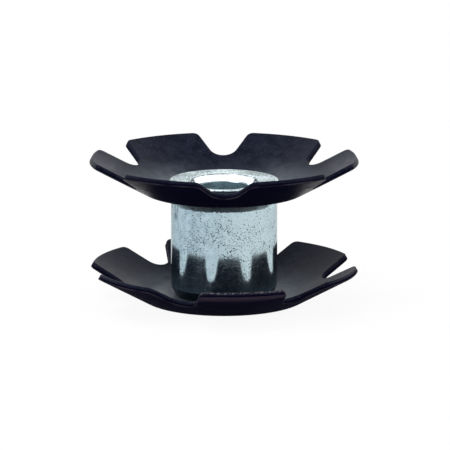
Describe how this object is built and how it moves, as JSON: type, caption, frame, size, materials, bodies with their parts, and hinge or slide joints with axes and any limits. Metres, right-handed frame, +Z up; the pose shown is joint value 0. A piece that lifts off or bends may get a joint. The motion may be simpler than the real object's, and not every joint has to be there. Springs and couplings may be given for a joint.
{
  "type": "star nut",
  "caption": "Bicycle steerer star nut: dished star washers of black spring steel clinched on the ends of a zinc plated threaded barrel.",
  "frame": {"origin": "middle of the lower lip's underside, the face that the nut stands on", "axes": "+Z up the thread's axis, out of the upper mouth; -Y is the front, midway between two petals of the upper washer"},
  "size_m": [0.0272, 0.0272, 0.0151],
  "materials": {
    "black_spring_steel": "black phosphated and oiled spring steel, satin",
    "zinc_plated_steel": "clear bluish zinc plate with fine dark pits"
  },
  "bodies": {
    "root": {"upper_star_washer": "black_spring_steel", "lower_star_washer": "black_spring_steel", "threaded_barrel": "zinc_plated_steel"}
  },
  "joints": []
}
